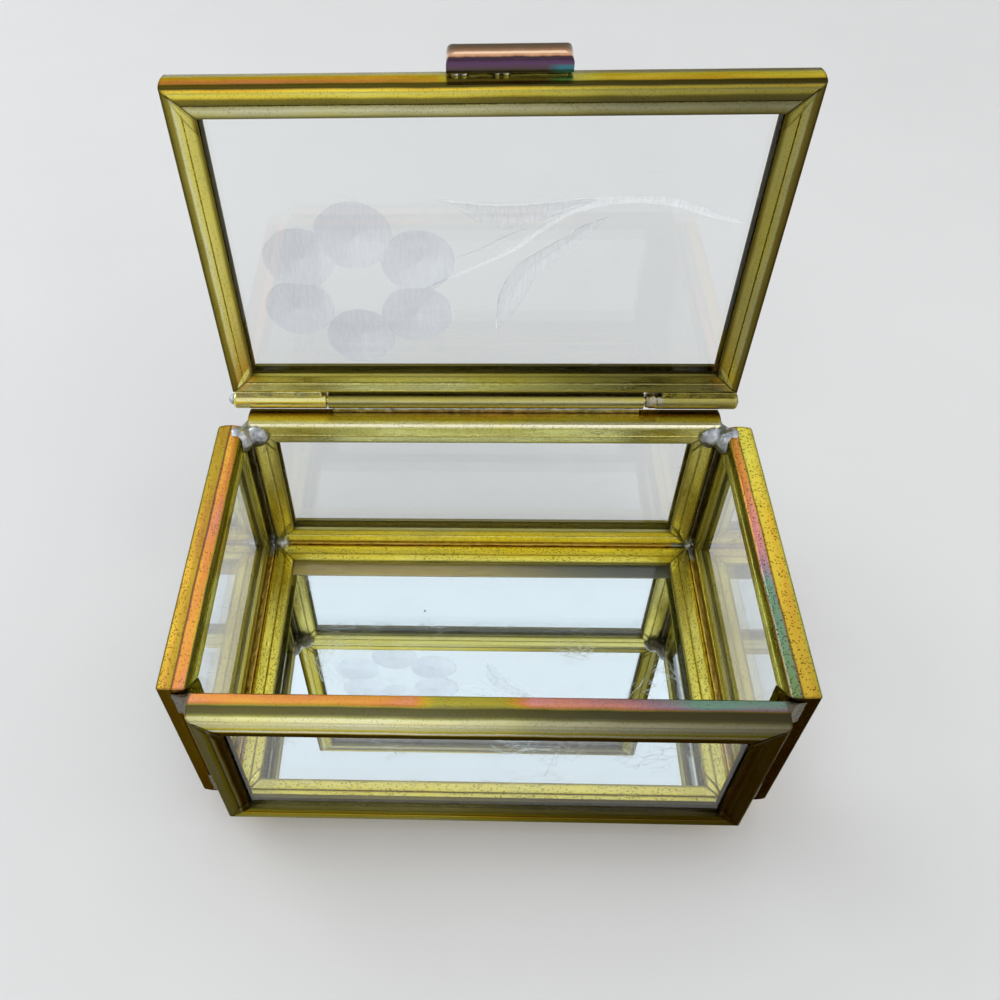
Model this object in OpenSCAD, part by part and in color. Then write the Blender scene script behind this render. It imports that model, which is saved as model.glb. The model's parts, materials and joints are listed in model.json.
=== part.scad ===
// Small glass casket box with a mirrored floor and a hinged glass lid.
// Six flat panels, each a pane wrapped in one bent strip of rolled brass channel,
// stand edge to edge and are held by solder. The lid swings on a knuckle hinge.
// The origin is the middle of the footprint, on the table, with the lid standing upright.
// X runs to the right, Y to the back, Z up.

/* [Box] */
// Width over the two side walls
box_w = 76; // [60:1:120]
// Length of a side wall from front to back
side_len = 42; // [32:1:80]
// Height of the four walls
wall_h = 28; // [20:1:60]
// How far the lid stands open, 0 is shut
lid_angle = 90; // [0:1:90]

/* [Panes and strip] */
// Thickness of the panes and of the mirror
glass_t = 2.7; // [2:0.1:3.2]
// Play between the face of a pane and the strip
glass_play = 0.05; // [0.02:0.01:0.15]
// Play between the edge of a pane and the strip
edge_play = 0.3; // [0.1:0.05:0.6]
// Sheet thickness of the brass strip
sheet_t = 0.5; // [0.4:0.05:0.7]
// Depth of the strip from its back to its lips
strip_d = 3.6; // [3.4:0.1:6]
// Rounding of the two long corners of the strip
strip_round = 0.8; // [0.5:0.05:1.2]
// Radius of the slight dome of the strip's back
dome_r = 9; // [6:0.5:20]
// How far the rolled crease on each side lies from the back of the strip
crease_at = 2.1; // [1.6:0.1:2.6]
// Depth of the rolled crease
crease = 0.1; // [0.05:0.01:0.15]
// Depth of the bent corner seams in the lips
seam = 0.12; // [0.05:0.01:0.2]

/* [Joints between panels] */
// How far the ends of the front, back and floor panels stay short of the side walls
corner_gap = 0.4; // [0.2:0.1:0.8]
// Reach of a solder tack along each of the two panels that it joins
solder_leg = 2; // [1.4:0.1:2.6]
// Reach of the thin run of solder between the tacks
run_leg = 1; // [0.9:0.05:1.3]
// Thickness of the solder at the thin edges of its hollow face
solder_edge = 0.15; // [0.05:0.05:0.3]
// How far the solder comes through to the inside of the box
solder_in = 0.2; // [0.15:0.05:0.3]
// Length of a tack along the joint
tack_len = 4.5; // [3:0.1:7]
// Radius of the solder lump over the rear end of each side wall
lump_r = 2.1; // [1.6:0.1:2.6]
// How far this lump stands above the rim
lump_up = 0.25; // [0.1:0.05:0.35]
// Radius of the smaller lump beside it on the back wall
back_lump_r = 1.8; // [1.4:0.1:2.2]
// How far the middle of each of these lumps lies inside the corner
lump_in = 1.25; // [0.8:0.05:1.6]
// Radius of the small lump on the floor in the rear left corner
floor_lump_r = 1.3; // [0.8:0.1:1.8]

/* [Hinge] */
// Radius of the hinge tube
tube_r = 1.25; // [1.1:0.05:1.8]
// Radius of the hinge pin
pin_r = 0.6; // [0.4:0.05:0.8]
// Play between the pin and the bore of the tube, on the radius
pin_play = 0.05; // [0.02:0.01:0.1]
// Air between a lid knuckle and the rim below it
tube_air = 0.3; // [0.2:0.05:0.5]
// Length of the left lid knuckle
left_len = 13.4; // [8:0.1:18]
// Length of the right lid knuckle
right_len = 11.3; // [8:0.1:18]
// Air between the left knuckle and the fixed barrel
knuckle_air = 0.3; // [0.2:0.05:1]
// Stretch of bare pin between the fixed barrel and the right knuckle
bare_pin = 1.9; // [0.4:0.1:4]
// Rounding of the outer ends of the knuckles
tube_round = 0.45; // [0.2:0.05:0.5]
// How far the right knuckle stands out past the side edge of the lid
hinge_proud = 0.2; // [0:0.05:0.6]
// Width of the solder along each tube of the hinge
hinge_seam_w = 1.6; // [1:0.1:2]
// How far each of these runs stops short of the ends of its tube
hinge_seam_in = 0.5; // [0.2:0.1:1]
// How far the solder on the left end of the hinge stands out
left_cap = 0.8; // [0.2:0.05:0.8]
// How far the solder on the right end of the hinge stands out
right_cap = 0.25; // [0.2:0.05:0.8]

/* [Lid] */
// Air between the shut lid and the rim
lid_air = 0.7; // [0.6:0.05:1]
// Solder between the lid knuckles and the rear edge of the lid
lid_seam = 0.5; // [0.3:0.05:1.2]
// How far each side edge of the lid lies inside the middle of the rim
lid_inset = 0.25; // [0:0.05:1]

/* [Lift tab] */
// Length of the lift tab
tab_len = 13.7; // [8:0.1:20]
// Thickness of the tab
tab_t = 3.2; // [2.4:0.1:4]
// How far the tab sits to the right of the middle
tab_off = 2.3; // [-8:0.1:8]
// How far the tab stands out from the front edge of the lid
tab_out = 2.4; // [2:0.1:4]
// How far the tab is set back from the inner face of the lid
tab_back = 2; // [1:0.1:2.6]
// How far the outer lip of the tab laps over the front edge of the lid
tab_lap = 1.1; // [0.6:0.1:2]
// Air between the inner lip of the tab and the front edge of the lid
tab_gap = 0.35; // [0.2:0.05:0.6]
// Rounding of the tab's corners seen from above
tab_round = 1.1; // [0.6:0.1:1.2]
// Play between the inside of the tab and the solder in it
tab_fit = 0.03; // [0.02:0.01:0.1]
// Radius of the small tacks in that air
tack_r = 0.4; // [0.3:0.05:0.5]

/* [Hidden] */
$fn = 48;

brass = [0.66, 0.60, 0.22];
solder_grey = [0.58, 0.59, 0.60];
clear_glass = [0.80, 0.87, 0.88, 0.35];
mirror_blue = [0.80, 0.86, 0.90];

// Strip and panels
strip_t = glass_t + 2 * glass_play + 2 * sheet_t;
strip_r = strip_t / 2;
groove_r = strip_r - sheet_t;
pane_in = sheet_t + edge_play;
front_w = box_w - 2 * strip_t - 2 * corner_gap;
wall_z = strip_t;
rim_z = wall_z + wall_h;
side_x = box_w / 2 - strip_r;
end_y = side_len / 2 + strip_r;
past = 1;

// Hinge line over the outer face of the back wall, clear of the rim's round corner
hinge_y = side_len / 2 + strip_t;
hinge_reach = strip_round + tube_r + tube_air;
hinge_z = rim_z - strip_round + sqrt(pow(hinge_reach, 2) - pow(strip_round, 2));
bore_r = pin_r + pin_play;
wall_share = 0.8;
end_round = min(tube_round, wall_share * (tube_r - bore_r));

// Lid as it lies when shut
lid_w = 2 * side_x - 2 * lid_inset;
lid_back = hinge_y - tube_r - lid_seam;
lid_front = -end_y;
lid_len = lid_back - lid_front;
lid_z = rim_z + lid_air + strip_r;

// Hinge pieces along X, from the left end to the right end
hinge_x0 = -lid_w / 2;
hinge_x1 = lid_w / 2 + hinge_proud;
left_x1 = hinge_x0 + left_len;
barrel_x0 = left_x1 + knuckle_air;
right_x0 = hinge_x1 - right_len;
barrel_x1 = right_x0 - bare_pin;

// Tab as it lies when the lid is shut
tab_y = lid_front - tab_out;
tab_end_y = lid_front + tab_lap;
tab_z = lid_z - strip_r + tab_back + tab_t / 2;

// Turn of the lumps, so that no pole of theirs lies along a panel
lump_turn = [17, 31, 0];

// Places of the four tacks at the tab's inner lip, from the middle of the tab
tack_at = [-5.8, -4.9, -1.3, -0.4];

// The box is drawn round the middle of its floor, and this is how far the footprint's middle
// lies behind that with the lid upright
foot_y = (tab_z + tab_t / 2 - hinge_z) / 2;

// Colours a piece and puts the middle of the footprint at the origin
module piece(paint) {
  color(paint)
    translate([0, -foot_y, 0])
      children();
}

// Rolled channel strip, cut across: depth along x, thickness along y
module strip_outline() {
  intersection() {
    union() {
      translate([strip_round, -strip_r])
        square([strip_d - strip_round, strip_t]);
      translate([0, strip_round - strip_r])
        square([strip_d, strip_t - 2 * strip_round]);
      for (side = [-1, 1])
        translate([strip_round, side * (strip_r - strip_round)])
          circle(strip_round);
    }
    union() {
      translate([dome_r, 0])
        circle(dome_r, $fn = 180);
      translate([strip_round, -strip_r])
        square([strip_d, strip_t]);
    }
  }
}

// A whole panel cut across, w wide, with the strip's rounded back on both sides
module panel_outline(w) {
  for (turn = [0, 180])
    rotate(turn)
      translate([-w / 2, 0])
        strip_outline();
  square([w - strip_d, strip_t], center = true);
}

// The whole space that a framed panel fills. The two sweeps meet in mitred corners.
module panel_body(w, h) {
  intersection() {
    rotate([90, 0, 90])
      linear_extrude(w + 2 * past, center = true)
        panel_outline(h);
    rotate([90, 0, 0])
      linear_extrude(h + 2 * past, center = true)
        panel_outline(w);
  }
}

// Rolled creases along the four sides, on both faces
module creases(w, h) {
  for (side = [-1, 1], s = [-1, 1]) {
    translate([0, s * (h / 2 - crease_at), side * strip_r])
      rotate([45, 0, 0])
        cube([w - 2 * crease_at, crease * sqrt(2), crease * sqrt(2)], center = true);
    translate([s * (w / 2 - crease_at), 0, side * strip_r])
      rotate([0, 45, 0])
        cube([crease * sqrt(2), h - 2 * crease_at, crease * sqrt(2)], center = true);
  }
}

// The bent seam across the lips at each corner, on both faces
module corner_seams(w, h) {
  for (sx = [-1, 1], sy = [-1, 1], side = [-1, 1])
    translate([sx * w / 2, sy * h / 2, side * strip_r])
      rotate(atan2(-sy, -sx))
        translate([strip_round * sqrt(2), 0, 0])
          rotate([45, 0, 0])
            translate([0, -seam / sqrt(2), -seam / sqrt(2)])
              cube([strip_d * sqrt(2), seam * sqrt(2), seam * sqrt(2)]);
}

// The bent strip round a pane, with its groove, its window and its rolled lines
module frame(w, h) {
  difference() {
    panel_body(w, h);
    cube([w - 2 * sheet_t, h - 2 * sheet_t, 2 * groove_r], center = true);
    cube([w - 2 * strip_d, h - 2 * strip_d, strip_t + 2 * past], center = true);
    creases(w, h);
    corner_seams(w, h);
  }
}

module pane(w, h) {
  cube([w - 2 * pane_in, h - 2 * pane_in, glass_t], center = true);
}

// Places of the panels, each drawn flat round the origin
module at_base() {
  translate([0, 0, strip_r])
    children();
}

module at_wall(y) {
  translate([0, y, wall_z + wall_h / 2])
    rotate([90, 0, 0])
      children();
}

module at_side(x) {
  translate([x, 0, wall_z + wall_h / 2])
    rotate([90, 0, 90])
      children();
}

module at_lid() {
  translate([0, (lid_back + lid_front) / 2, lid_z])
    children();
}

// Swings what is drawn shut to the angle at which the lid stands
module swing() {
  translate([0, hinge_y, hinge_z])
    rotate([-lid_angle, 0, 0])
      translate([0, -hinge_y, -hinge_z])
        children();
}

module mirrored(sx, sy) {
  mirror([sx < 0 ? 1 : 0, 0, 0])
    mirror([0, sy < 0 ? 1 : 0, 0])
      children();
}

// The notch between two panels, cut across. One panel lies along -x with its edge at x = 0,
// the other along -y with its edge at y = 0 and its face gap away from the first.
// Both faces that look into the notch lie along the axes, and the solder has a hollow face
// and reaches leg along each panel.
module notch_fill(gap, leg) {
  difference() {
    translate([-solder_in, -solder_in])
      square(gap + leg + solder_in);
    translate([gap + leg + solder_edge, gap + leg + solder_edge])
      circle(gap + leg, $fn = 96);
    translate([0, strip_r])
      rotate(180)
        strip_outline();
    translate([gap + strip_r, 0])
      rotate(-90)
        strip_outline();
  }
}

// The solder in a notch of the given length: a thin run from end to end, with a tack at each end
module notch_solder(len, gap) {
  linear_extrude(len)
    notch_fill(gap, run_leg);
  for (z = [0, len - tack_len])
    translate([0, 0, z])
      linear_extrude(tack_len)
        notch_fill(gap, solder_leg);
}

// Solder in the upright notch between a side wall and a long wall
module upright_solder(sx, sy) {
  mirrored(sx, sy)
    translate([front_w / 2, side_len / 2, wall_z + strip_round])
      notch_solder(wall_h - 2 * strip_round, corner_gap);
}

// The two lumps in the rear left corner: one over the end of the side wall, one on the back wall
module rear_lumps() {
  difference() {
    union() {
      translate([lump_r / 2 - side_x, side_len / 2 - lump_in, rim_z + lump_up - lump_r])
        rotate(lump_turn)
          sphere(lump_r);
      translate([lump_in - front_w / 2, side_len / 2 + solder_in, rim_z - lump_r])
        rotate(lump_turn)
          sphere(back_lump_r);
    }
    at_side(-side_x)
      panel_body(side_len, wall_h);
    at_wall(end_y)
      panel_body(front_w, wall_h);
    translate([-box_w / 2, side_len / 2 + strip_r, wall_z])
      cube([box_w, strip_t, wall_h]);
  }
}

module corner_solder(sx, sy) {
  piece(solder_grey) {
    upright_solder(sx, sy);
    if (sy > 0)
      mirrored(-sx, 1)
        rear_lumps();
  }
}

// A small lump on the floor in the rear left corner
module floor_lump() {
  difference() {
    translate([floor_lump_r - front_w / 2, side_len / 2 - solder_in, wall_z + solder_in])
      sphere(floor_lump_r);
    at_base()
      panel_body(front_w, side_len);
    at_wall(end_y)
      panel_body(front_w, wall_h);
  }
}

// A length of hinge tube on the hinge line, with a rounded end where asked
module tube(x0, x1, round0, round1) {
  translate([x0, hinge_y, hinge_z])
    rotate([90, 0, 90])
      rotate_extrude()
        difference() {
          translate([bore_r, 0])
            square([tube_r - bore_r, x1 - x0]);
          if (round0)
            tube_corner(end_round, 1);
          if (round1)
            translate([0, x1 - x0])
              tube_corner(end_round, -1);
        }
}

module tube_corner(r, up) {
  difference() {
    translate([tube_r - r, up > 0 ? -past : -r])
      square([r + past, r + past]);
    translate([tube_r - r, up * r])
      circle(r);
  }
}

module rod(x0, x1, r) {
  translate([x0, hinge_y, hinge_z])
    rotate([0, 90, 0])
      cylinder(h = x1 - x0, r = r);
}

// Solder between the floor panel and a long wall
module floor_solder_long(sy) {
  piece(solder_grey) {
    mirrored(1, sy)
      translate([front_w / 2 - strip_round, side_len / 2, wall_z])
        rotate([-90, 0, 90])
          notch_solder(front_w - 2 * strip_round, 0);
    if (sy > 0)
      floor_lump();
  }
}

// Solder between the floor panel and a side wall
module floor_solder_side(sx) {
  piece(solder_grey)
    mirrored(sx, 1)
      translate([front_w / 2, strip_round - side_len / 2, wall_z])
        rotate([-90, 0, 0])
          notch_solder(side_len - 2 * strip_round, corner_gap);
}

module base_frame() {
  piece(brass)
    at_base()
      frame(front_w, side_len);
}

module base_mirror() {
  piece(mirror_blue)
    at_base()
      pane(front_w, side_len);
}

module wall_frame(y) {
  piece(brass)
    at_wall(y)
      frame(front_w, wall_h);
}

module wall_glass(y) {
  piece(clear_glass)
    at_wall(y)
      pane(front_w, wall_h);
}

module side_frame(x) {
  piece(brass)
    at_side(x)
      frame(side_len, wall_h);
}

module side_glass(x) {
  piece(clear_glass)
    at_side(x)
      pane(side_len, wall_h);
}

// The fixed middle of the hinge, soldered to the shoulder of the back rim
module hinge_barrel() {
  piece(brass)
    tube(barrel_x0, barrel_x1, false, false);
}

// Solder under the barrel, fitted to it and to the rim
module barrel_solder() {
  mid_y = hinge_y - strip_round / 2;
  piece(solder_grey)
    translate([barrel_x0 + hinge_seam_in, 0, 0])
      rotate([90, 0, 90])
        linear_extrude(barrel_x1 - barrel_x0 - 2 * hinge_seam_in)
          difference() {
            translate([mid_y - hinge_seam_w / 2, rim_z - strip_round / 2])
              square([hinge_seam_w, hinge_z - rim_z]);
            translate([hinge_y, hinge_z])
              circle(tube_r);
            translate([end_y, rim_z])
              rotate(-90)
                strip_outline();
          }
}

module lid_frame() {
  piece(brass)
    swing()
      at_lid()
        frame(lid_w, lid_len);
}

module lid_glass() {
  piece(clear_glass)
    swing()
      at_lid()
        pane(lid_w, lid_len);
}

module hinge_knuckle_left() {
  piece(brass)
    swing()
      tube(hinge_x0, left_x1, true, false);
}

module hinge_knuckle_right() {
  piece(brass)
    swing()
      tube(right_x0, hinge_x1, false, true);
}

// Solder between a knuckle and the rear edge of the lid
module knuckle_solder(x0, x1) {
  mid_z = (hinge_z + lid_z - strip_r + strip_round) / 2;
  piece(solder_grey)
    swing()
      translate([x0 + hinge_seam_in, 0, 0])
        rotate([90, 0, 90])
          linear_extrude(x1 - x0 - 2 * hinge_seam_in)
            difference() {
              translate([lid_back - strip_round / 2, mid_z - hinge_seam_w / 2])
                square([hinge_y - lid_back, hinge_seam_w]);
              translate([hinge_y, hinge_z])
                circle(tube_r);
              translate([lid_back, lid_z])
                rotate(180)
                  strip_outline();
            }
}

module hinge_pin() {
  piece(brass)
    swing()
      rod(hinge_x0, hinge_x1, pin_r);
}

// Solder that closes the outer end of a knuckle over the end of the pin
module pin_cap(x, side, out, r) {
  ball_r = (r * r + out * out) / (2 * out);
  piece(solder_grey)
    swing()
      translate([x, hinge_y, hinge_z])
        rotate([0, side * 90, 0])
          intersection() {
            translate([0, 0, out - ball_r])
              sphere(ball_r);
            cylinder(h = out + past, r = ball_r);
          }
}

// The outer form of the tab, made smaller by inset on its front, its ends and its two faces
module tab_block(inset) {
  t = tab_t - 2 * inset;
  len = tab_len - 2 * inset;
  edge = min(strip_round, t / 2);
  corner = max(tab_round - inset, edge / 2);
  intersection() {
    translate([tab_off - len / 2, 0, 0])
      rotate([90, 0, 90])
        linear_extrude(len)
          translate([tab_y + inset, tab_z]) {
            translate([edge, -t / 2])
              square([tab_end_y - tab_y, t]);
            translate([0, edge - t / 2])
              square([2 * edge, t - 2 * edge]);
            for (side = [-1, 1])
              translate([edge, side * (t / 2 - edge)])
                circle(edge);
          }
    translate([tab_off, tab_y + inset, tab_z - tab_t])
      linear_extrude(2 * tab_t) {
        translate([-len / 2, corner])
          square([len, tab_end_y - tab_y]);
        translate([corner - len / 2, 0])
          square([len - 2 * corner, 2 * corner]);
        for (side = [-1, 1])
          translate([side * (len / 2 - corner), corner])
            circle(corner);
      }
  }
}

// A short channel on the front edge of the lid. Its inner lip ends just short of the edge,
// its outer lip laps over it.
module tab_channel() {
  difference() {
    tab_block(0);
    tab_block(sheet_t);
    translate([tab_off - tab_len, lid_front - tab_gap, tab_z - 1.5 * tab_t - sheet_t])
      cube([2 * tab_len, tab_lap + 2 * past, 2 * tab_t]);
    translate([tab_off - tab_len, tab_end_y, tab_z - tab_t])
      cube([2 * tab_len, tab_t, 2 * tab_t]);
  }
}

module lift_tab() {
  piece(brass)
    swing()
      tab_channel();
}

// Solder inside the tab, where it sits on the lid's edge, and the small tacks at its inner lip
module tab_solder() {
  piece(solder_grey)
    swing()
      difference() {
        union() {
          intersection() {
            tab_block(sheet_t + tab_fit);
            translate([tab_off - tab_len, lid_front - tab_lap, tab_z - tab_t])
              cube([2 * tab_len, 2 * tab_lap - tab_gap, 2 * tab_t]);
          }
          for (x = tack_at)
            translate([tab_off + x, lid_front - tab_gap / 2, tab_z - tab_t / 2 + tack_r])
              sphere(tack_r);
        }
        lid_edge();
        tab_channel();
      }
}

module lid_edge() {
  translate([tab_off - tab_len, 0, 0])
    rotate([90, 0, 90])
      linear_extrude(2 * tab_len)
        translate([lid_front, lid_z])
          strip_outline();
}

base_frame();
base_mirror();
wall_frame(-end_y);  // front_frame
wall_glass(-end_y);  // front_glass
wall_frame(end_y);  // back_frame
wall_glass(end_y);  // back_glass
side_frame(-side_x);  // left_frame
side_glass(-side_x);  // left_glass
side_frame(side_x);  // right_frame
side_glass(side_x);  // right_glass
corner_solder(-1, -1);  // corner_solder_front_left
corner_solder(1, -1);  // corner_solder_front_right
corner_solder(-1, 1);  // corner_solder_back_left
corner_solder(1, 1);  // corner_solder_back_right
floor_solder_long(-1);  // base_solder_front
floor_solder_long(1);  // base_solder_back
floor_solder_side(-1);  // base_solder_left
floor_solder_side(1);  // base_solder_right
hinge_barrel();
barrel_solder();
lid_frame();
lid_glass();
hinge_knuckle_left();
hinge_knuckle_right();
knuckle_solder(hinge_x0, left_x1);  // knuckle_solder_left
knuckle_solder(right_x0, hinge_x1);  // knuckle_solder_right
hinge_pin();
pin_cap(hinge_x0, -1, left_cap, tube_r - end_round);  // pin_solder_left
pin_cap(hinge_x1, 1, right_cap, tube_r - end_round);  // pin_solder_right
lift_tab();
tab_solder();
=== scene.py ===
"""Looks for a small glass casket box: rolled brass channel with heat colours, soft solder,
clear panes, a back-silvered floor mirror and a flower ground into the lid."""
import json
import math

import bmesh
import bpy
from mathutils import Matrix, Vector, noise

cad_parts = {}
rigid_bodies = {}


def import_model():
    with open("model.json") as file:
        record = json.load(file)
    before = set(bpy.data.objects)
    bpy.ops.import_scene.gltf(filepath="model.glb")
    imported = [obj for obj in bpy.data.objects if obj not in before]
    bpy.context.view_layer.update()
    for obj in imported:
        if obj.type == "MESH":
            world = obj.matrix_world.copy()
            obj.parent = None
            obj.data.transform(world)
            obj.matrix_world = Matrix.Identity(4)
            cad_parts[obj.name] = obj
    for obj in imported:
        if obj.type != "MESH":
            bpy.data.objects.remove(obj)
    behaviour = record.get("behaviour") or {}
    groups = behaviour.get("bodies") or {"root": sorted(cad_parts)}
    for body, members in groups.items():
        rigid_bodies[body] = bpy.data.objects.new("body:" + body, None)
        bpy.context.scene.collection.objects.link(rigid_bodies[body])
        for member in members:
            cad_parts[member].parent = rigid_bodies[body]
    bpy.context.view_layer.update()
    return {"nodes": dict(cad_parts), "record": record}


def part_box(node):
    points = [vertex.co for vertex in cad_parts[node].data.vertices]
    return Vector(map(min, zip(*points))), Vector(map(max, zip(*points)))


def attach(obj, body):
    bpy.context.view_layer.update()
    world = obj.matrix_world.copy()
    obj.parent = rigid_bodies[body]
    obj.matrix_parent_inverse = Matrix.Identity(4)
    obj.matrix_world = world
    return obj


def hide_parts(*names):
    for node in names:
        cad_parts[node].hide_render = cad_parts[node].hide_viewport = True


for leftover in list(bpy.data.objects):
    bpy.data.objects.remove(leftover)
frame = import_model()
cad_nodes = frame["nodes"]

MM = 0.001

# Sizes that the dressing takes from the CAD part, in millimetres
FOOT_Y = 2.24518
STRIP_T = 3.8
STRIP_D = 3.6
CREASE_AT = 2.1
GLASS_T = 2.7
WALL_MID_Z = 17.8
WALL_HALF_H = 14.0
FRONT_HALF_W = 33.8
SIDE_HALF_L = 21.0
SIDE_X = 36.1
END_Y = 22.9
LID_MID_Y = 25.99
LID_LOW_Z = 34.96
LID_HALF_W = 35.85
LID_HALF_L = 22.975
HINGE_Y = 24.8
HINGE_Z = 33.21
TUBE_R = 1.25
PIN_R = 0.6
RIGHT_KNUCKLE_X = 24.75
TAB_REAR_Y = 29.29
TAB_TOP_Z = 83.31
TAB_RIGHT_X = 9.15
TAB_AROUND = 5.4


def metres(x, y, z):
    """A point of the CAD part, given round the middle of the floor in millimetres."""
    return Vector((x, y - FOOT_Y, z)) * MM


# ---------------------------------------------------------------- node helpers
def feed(tree, node, **inputs):
    """Sets or links a node's inputs by name."""
    for key, value in inputs.items():
        socket = node.inputs[key.replace("_", " ")]
        if isinstance(value, bpy.types.NodeSocket):
            tree.links.new(value, socket)
        else:
            socket.default_value = value


def put(tree, kind, settings=None, **inputs):
    """Adds a node, sets its options, and sets or links its inputs by name."""
    made = tree.nodes.new(kind)
    for key, value in (settings or {}).items():
        setattr(made, key, value)
    feed(tree, made, **inputs)
    return made


def relief(tree, shader, height, strength, distance):
    """Bumps the shader's surface by a height."""
    bump = put(tree, "ShaderNodeBump", None, Height=height, Strength=strength, Distance=distance)
    feed(tree, shader, Normal=bump.outputs[0])


def calc(tree, operation, *values, clamp=False):
    """A math node, fed by numbers or sockets."""
    made = tree.nodes.new("ShaderNodeMath")
    made.operation = operation
    made.use_clamp = clamp
    for socket, value in zip(made.inputs, values):
        if isinstance(value, bpy.types.NodeSocket):
            tree.links.new(value, socket)
        else:
            socket.default_value = value
    return made.outputs[0]


def plus(tree, *values, clamp=False):
    """The sum of two values, each a number or a socket."""
    return calc(tree, "ADD", *values, clamp=clamp)


def diff(tree, *values):
    """The first value less the second."""
    return calc(tree, "SUBTRACT", *values)


def mult(tree, *values, clamp=False):
    """The product of two values."""
    return calc(tree, "MULTIPLY", *values, clamp=clamp)


def fade(tree, value, low, high, out_low=0.0, out_high=1.0):
    """A smooth step from out_low at low to out_high at high."""
    made = put(tree, "ShaderNodeMapRange", {"interpolation_type": "SMOOTHSTEP"},
               Value=value, From_Min=low, From_Max=high, To_Min=out_low, To_Max=out_high)
    return made.outputs["Result"]


def tint(tree, share, first, second, mode="MIX"):
    """Mixes two colours."""
    made = tree.nodes.new("ShaderNodeMix")
    made.data_type = "RGBA"
    made.blend_type = mode
    for index, value in ((0, share), (6, first), (7, second)):
        if isinstance(value, bpy.types.NodeSocket):
            tree.links.new(value, made.inputs[index])
        elif index:
            made.inputs[index].default_value = (*value, 1.0)
        else:
            made.inputs[index].default_value = value
    return made.outputs[2]


def stretched(tree, place, x, y, z):
    """The place with its three axes scaled, so that a pattern runs along one of them."""
    made = put(tree, "ShaderNodeVectorMath", {"operation": "MULTIPLY"}, Vector=place)
    made.inputs[1].default_value = (x, y, z)
    return made.outputs[0]


def cloud(tree, place, scale, detail=3.0, rough=0.55, warp=0.0):
    """Soft noise from 0 to 1."""
    made = put(tree, "ShaderNodeTexNoise", None, Vector=place, Scale=scale, Detail=detail,
               Roughness=rough, Distortion=warp)
    return made.outputs[0]


def colour_scale(tree, share, stops):
    """A colour that changes along a share from 0 to 1. Each stop is its place and its colour."""
    made = put(tree, "ShaderNodeValToRGB", None, Fac=share)
    band = made.color_ramp
    while len(band.elements) < len(stops):
        band.elements.new(0.5)
    for element, (at, colour) in zip(band.elements, stops):
        element.position = at
        element.color = (*colour, 1.0)
    return made.outputs[0]


def new_group(name, takes, gives):
    """A shader node group with named inputs and outputs."""
    tree = bpy.data.node_groups.new(name, "ShaderNodeTree")
    for label, value in takes:
        kind = "NodeSocketVector" if isinstance(value, tuple) else "NodeSocketFloat"
        socket = tree.interface.new_socket(label, in_out="INPUT", socket_type=kind)
        socket.default_value = value
    for label, kind in gives:
        tree.interface.new_socket(label, in_out="OUTPUT", socket_type=kind)
    start = tree.nodes.new("NodeGroupInput")
    end = tree.nodes.new("NodeGroupOutput")
    return tree, start.outputs, end.inputs


def use_group(tree, group, **inputs):
    """Adds a node group with its inputs set, and gives its outputs."""
    return put(tree, "ShaderNodeGroup", {"node_tree": group}, **inputs).outputs


def new_material(name):
    """An empty material with a Principled shader, as (material, tree, shader)."""
    made = bpy.data.materials.new(name)
    made.use_nodes = True
    tree = made.node_tree
    tree.nodes.clear()
    shader = tree.nodes.new("ShaderNodeBsdfPrincipled")
    end = tree.nodes.new("ShaderNodeOutputMaterial")
    tree.links.new(shader.outputs[0], end.inputs["Surface"])
    return made, tree, shader


def object_place(tree):
    """Object coordinates in millimetres."""
    place = tree.nodes.new("ShaderNodeTexCoord").outputs["Object"]
    return stretched(tree, place, 1 / MM, 1 / MM, 1 / MM)


# ------------------------------------------------------------------ node groups
# Shifts that give each of a panel's four strips its own part of a pattern
UPRIGHT_SHIFT, SECOND_SHIFT = 61.0, 23.0
SEAM_SOFT, SEAM_FULL = 0.34, 0.08


def make_strip_place():
    """Where a point lies on a panel's strip: in from its back, around its section from one lip to
    the other, how near the bent seam at a corner, whether on an upright, and along its grain."""
    tree, take, give = new_group(
        "strip_place",
        [("Panel", (0.0, 0.0, 0.0)), ("Half Width", 30.0), ("Half Height", 20.0)],
        [("Depth", "NodeSocketFloat"), ("Around", "NodeSocketFloat"), ("Seam", "NodeSocketFloat"),
         ("Upright", "NodeSocketFloat"), ("Grain", "NodeSocketVector")])
    parts = put(tree, "ShaderNodeSeparateXYZ", None, Vector=take["Panel"]).outputs
    from_end = diff(tree, take["Half Width"], calc(tree, "ABSOLUTE", parts[0]))
    from_edge = diff(tree, take["Half Height"], calc(tree, "ABSOLUTE", parts[1]))
    upright = calc(tree, "LESS_THAN", from_end, from_edge)
    flat = diff(tree, 1.0, upright)
    depth = calc(tree, "MINIMUM", from_end, from_edge)
    along = plus(tree, mult(tree, parts[0], flat),
                 mult(tree, parts[1], upright))
    second = calc(tree, "SIGN", plus(tree, mult(tree, parts[1], flat),
                                     mult(tree, parts[0], upright)))
    shift = plus(tree, mult(tree, upright, UPRIGHT_SHIFT),
                 mult(tree, second, SECOND_SHIFT))
    grain = put(tree, "ShaderNodeCombineXYZ", None,
                X=plus(tree, along, shift), Y=depth, Z=parts[2])
    around = plus(tree, parts[2], mult(tree, calc(tree, "SIGN", parts[2]), depth))
    off_seam = calc(tree, "ABSOLUTE", diff(tree, from_end, from_edge))
    seam = fade(tree, off_seam, SEAM_SOFT, SEAM_FULL)
    for label, socket in (("Depth", depth), ("Around", around), ("Upright", upright),
                          ("Seam", seam), ("Grain", grain.outputs[0])):
        tree.links.new(socket, give[label])
    return tree


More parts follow.
